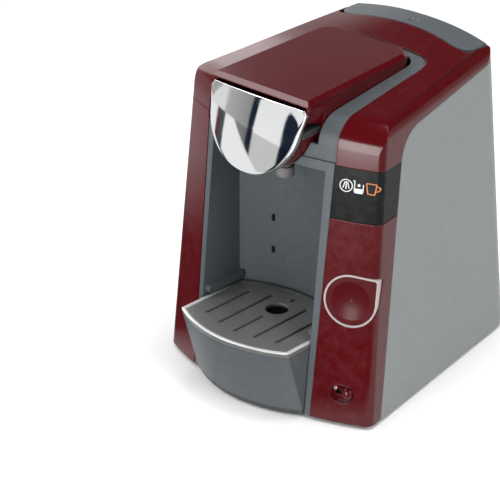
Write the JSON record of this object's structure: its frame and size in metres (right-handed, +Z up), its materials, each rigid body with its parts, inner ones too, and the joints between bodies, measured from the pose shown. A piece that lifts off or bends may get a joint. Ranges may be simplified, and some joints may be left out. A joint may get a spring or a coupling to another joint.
{
  "type": "toy coffee maker",
  "caption": "Toy pod coffee maker: lifting brew lid, press button, sliding power switch, pull-out drip tray, lift-out water tank, battery door.",
  "frame": {"origin": "centre of the footprint on the floor", "axes": "+Z up, front towards -Y, +X to the right seen from the front"},
  "size_m": [0.1838, 0.2407, 0.2251],
  "materials": {
    "red_gloss": "gloss",
    "silver_satin": "satin",
    "slate": "satin",
    "black_gloss": "gloss",
    "dark_plastic": "matt",
    "chrome": "mirror",
    "metallised": "satin metallised",
    "pale_plastic": "satin",
    "steel": "satin",
    "rubber": "matt",
    "clear": "clear",
    "tube": "translucent",
    "board_green": "satin",
    "lamp": "gloss",
    "cell": "satin"
  },
  "bodies": {
    "body": {"base_plate": "dark_plastic", "feet": "rubber", "left_side_panel": "silver_satin", "right_side_panel": "silver_satin", "rear_cover": "silver_satin", "top_cover": "red_gloss", "left_column_panel": "red_gloss", "right_column_panel": "red_gloss", "display_window": "black_gloss", "bay_liner": "slate", "collar": "slate", "head_housing": "red_gloss", "chrome_cap": "chrome", "nozzle": "pale_plastic", "disc_holder": "dark_plastic", "lid_hinge_pins": "steel", "button_ring": "chrome", "button_spring": "steel", "button_guide": "dark_plastic", "switch_plate": "red_gloss", "slide_switch": "steel", "circuit_board": "board_green", "contact_switch": "black_gloss", "indicator_lights": "lamp", "speaker": "dark_plastic", "tank_seal": "rubber", "tank_well": "dark_plastic", "water_tube": "tube", "batteries": "cell", "battery_contacts": "steel", "case_screws": "steel"},
    "lid": {"brew_lid": "red_gloss", "lid_inner_plate": "dark_plastic"},
    "button": {"start_button": "red_gloss"},
    "switch": {"switch_knob": "red_gloss"},
    "tray": {"drip_tray": "slate", "drip_grille": "metallised"},
    "tank": {"water_tank": "clear"},
    "tank_cap": {"tank_lid": "slate", "tank_plug": "slate"},
    "door": {"battery_door": "dark_plastic", "battery_door_screw": "steel"}
  },
  "joints": [
    {"name": "lid_hinge", "type": "hinge", "parent": "body", "child": "lid", "pos_m": [0, 0.0255, 0.21839], "axis": [-1, 0, 0], "range_deg": [0, 75]},
    {"name": "start_button_press", "type": "slide", "parent": "body", "child": "button", "axis": [-0.3665, 0.9255, -0.0956], "range_m": [0, 0.0025], "stiffness_N_per_m": 400, "springref_m": -0.001},
    {"name": "power_switch_slide", "type": "slide", "parent": "body", "child": "switch", "axis": [-0.9306, -0.366, 0], "range_m": [0, 0.007]},
    {"name": "drip_tray_slide", "type": "slide", "parent": "body", "child": "tray", "axis": [0, -1, 0], "range_m": [0, 0.09]},
    {"name": "tank_lift", "type": "slide", "parent": "body", "child": "tank", "axis": [0, 0, 1], "range_m": [0, 0.16]},
    {"name": "tank_lid_lift", "type": "slide", "parent": "tank", "child": "tank_cap", "axis": [0, 0, 1], "range_m": [0, 0.03]},
    {"name": "battery_door_drop", "type": "slide", "parent": "body", "child": "door", "axis": [0, 0, -1], "range_m": [0, 0.02]}
  ]
}
